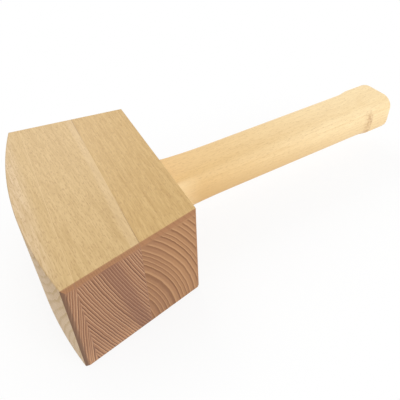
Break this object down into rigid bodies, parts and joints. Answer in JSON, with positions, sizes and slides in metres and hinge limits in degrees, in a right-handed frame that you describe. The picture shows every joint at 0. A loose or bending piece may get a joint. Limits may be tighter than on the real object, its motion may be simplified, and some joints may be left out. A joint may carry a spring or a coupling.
{
  "type": "wooden mallet",
  "caption": "Wooden joiner's mallet: tapered, domed head of glued staves on a waisted handle, held by a wedged through tenon. Strikes chisels and joints.",
  "frame": {"origin": "centre of the bounding box in plan, at the height of the cheek that the mallet lies on", "axes": "+X along the handle from the crown to the handle's end, Y between the striking faces, +Z out of the upper cheek"},
  "size_m": [0.309, 0.1494, 0.074],
  "materials": {
    "crown_beech": "planed and oiled, satin",
    "middle_beech": "planed and oiled, satin",
    "throat_beech": "planed and oiled, satin",
    "handle_beech": "sanded and oiled, satin",
    "wedge_hardwood": "sawn flush, matte"
  },
  "bodies": {
    "root": {"crown_stave": "crown_beech", "middle_stave": "middle_beech", "throat_stave": "throat_beech", "handle": "handle_beech", "tenon_wedge": "wedge_hardwood"}
  },
  "joints": []
}
